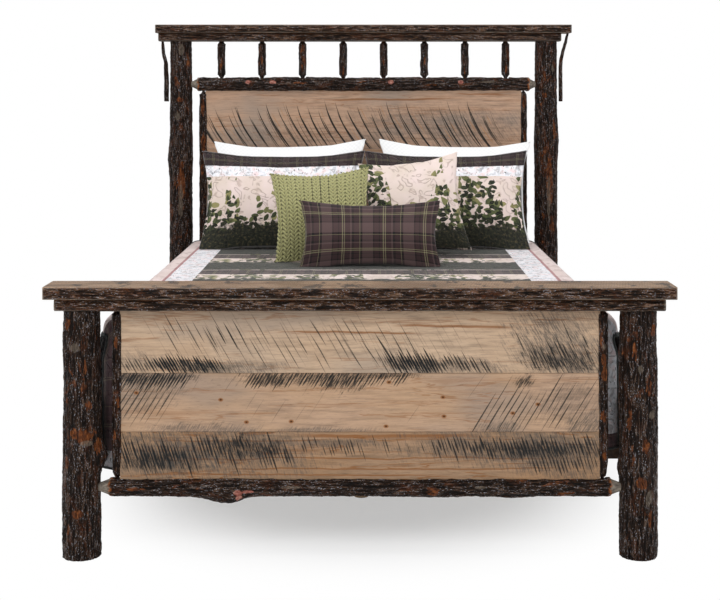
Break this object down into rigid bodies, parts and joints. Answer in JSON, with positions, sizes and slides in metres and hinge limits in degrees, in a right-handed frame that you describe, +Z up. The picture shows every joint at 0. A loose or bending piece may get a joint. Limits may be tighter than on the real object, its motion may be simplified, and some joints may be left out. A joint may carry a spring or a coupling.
{
  "type": "rustic log bed",
  "caption": "Dressed log bed with bark-covered posts and rails, plank head and foot panels, slab caps, spindles, quilt and pillows.",
  "frame": {"origin": "on the floor, in the middle of the bed", "axes": "+X to the right of someone facing the headboard from the foot, +Y from the footboard to the headboard, +Z up"},
  "size_m": [1.83, 2.2878, 1.64],
  "materials": {
    "bark_log": "satin varnish over bark",
    "bark_slab": "rough-sawn face, bark edge",
    "sawn_plank": "rough-sawn, clear coat",
    "frame_lumber": "planed softwood",
    "black_steel": "satin black",
    "zinc_screws": "zinc plated",
    "ticking": "woven ticking",
    "quilt_print": "quilted cotton",
    "white_cotton": "plain cotton",
    "sham_cotton": "quilted cotton",
    "throw_print": "cotton canvas",
    "sage_knit": "chunky knit",
    "dark_plaid": "brushed twill"
  },
  "bodies": {
    "root": {"box_spring": "ticking", "cap_screws": "zinc_screws", "centre_beam": "frame_lumber", "centre_foot_1": "frame_lumber", "centre_foot_2": "frame_lumber", "cleat_screws": "zinc_screws", "footboard_cap": "bark_slab", "footboard_lower_rail": "bark_log", "footboard_plank_1": "sawn_plank", "footboard_plank_2": "sawn_plank", "footboard_plank_3": "sawn_plank", "footboard_post_left": "bark_log", "footboard_post_right": "bark_log", "footboard_stile_left": "bark_log", "footboard_stile_right": "bark_log", "footboard_subcap": "bark_slab", "headboard_cap": "bark_slab", "headboard_lower_rail": "bark_log", "headboard_mid_rail": "bark_log", "headboard_plank_1": "sawn_plank", "headboard_plank_2": "sawn_plank", "headboard_plank_3": "sawn_plank", "headboard_plank_4": "sawn_plank", "headboard_post_left": "bark_log", "headboard_post_right": "bark_log", "headboard_spindle_1": "bark_log", "headboard_spindle_2": "bark_log", "headboard_spindle_3": "bark_log", "headboard_spindle_4": "bark_log", "headboard_spindle_5": "bark_log", "headboard_spindle_6": "bark_log", "headboard_spindle_7": "bark_log", "headboard_spindle_8": "bark_log", "headboard_stile_left": "bark_log", "headboard_stile_right": "bark_log", "headboard_subcap": "bark_slab", "headboard_twig_left": "bark_log", "headboard_twig_right": "bark_log", "hook_screws": "zinc_screws", "knitted_pillow": "sage_knit", "lumbar_pillow": "dark_plaid", "mattress": "ticking", "patterned_throw_pillow": "throw_print", "post_hook_plates": "black_steel", "quilt": "quilt_print", "rail_cleat_left": "frame_lumber", "rail_cleat_right": "frame_lumber", "rail_hooks": "black_steel", "sham_left": "sham_cotton", "sham_right": "sham_cotton", "side_rail_left": "frame_lumber", "side_rail_right": "frame_lumber", "slat_1": "frame_lumber", "slat_2": "frame_lumber", "slat_3": "frame_lumber", "slat_4": "frame_lumber", "slat_5": "frame_lumber", "slat_screws": "zinc_screws", "white_pillow_left": "white_cotton", "white_pillow_right": "white_cotton"}
  },
  "joints": []
}
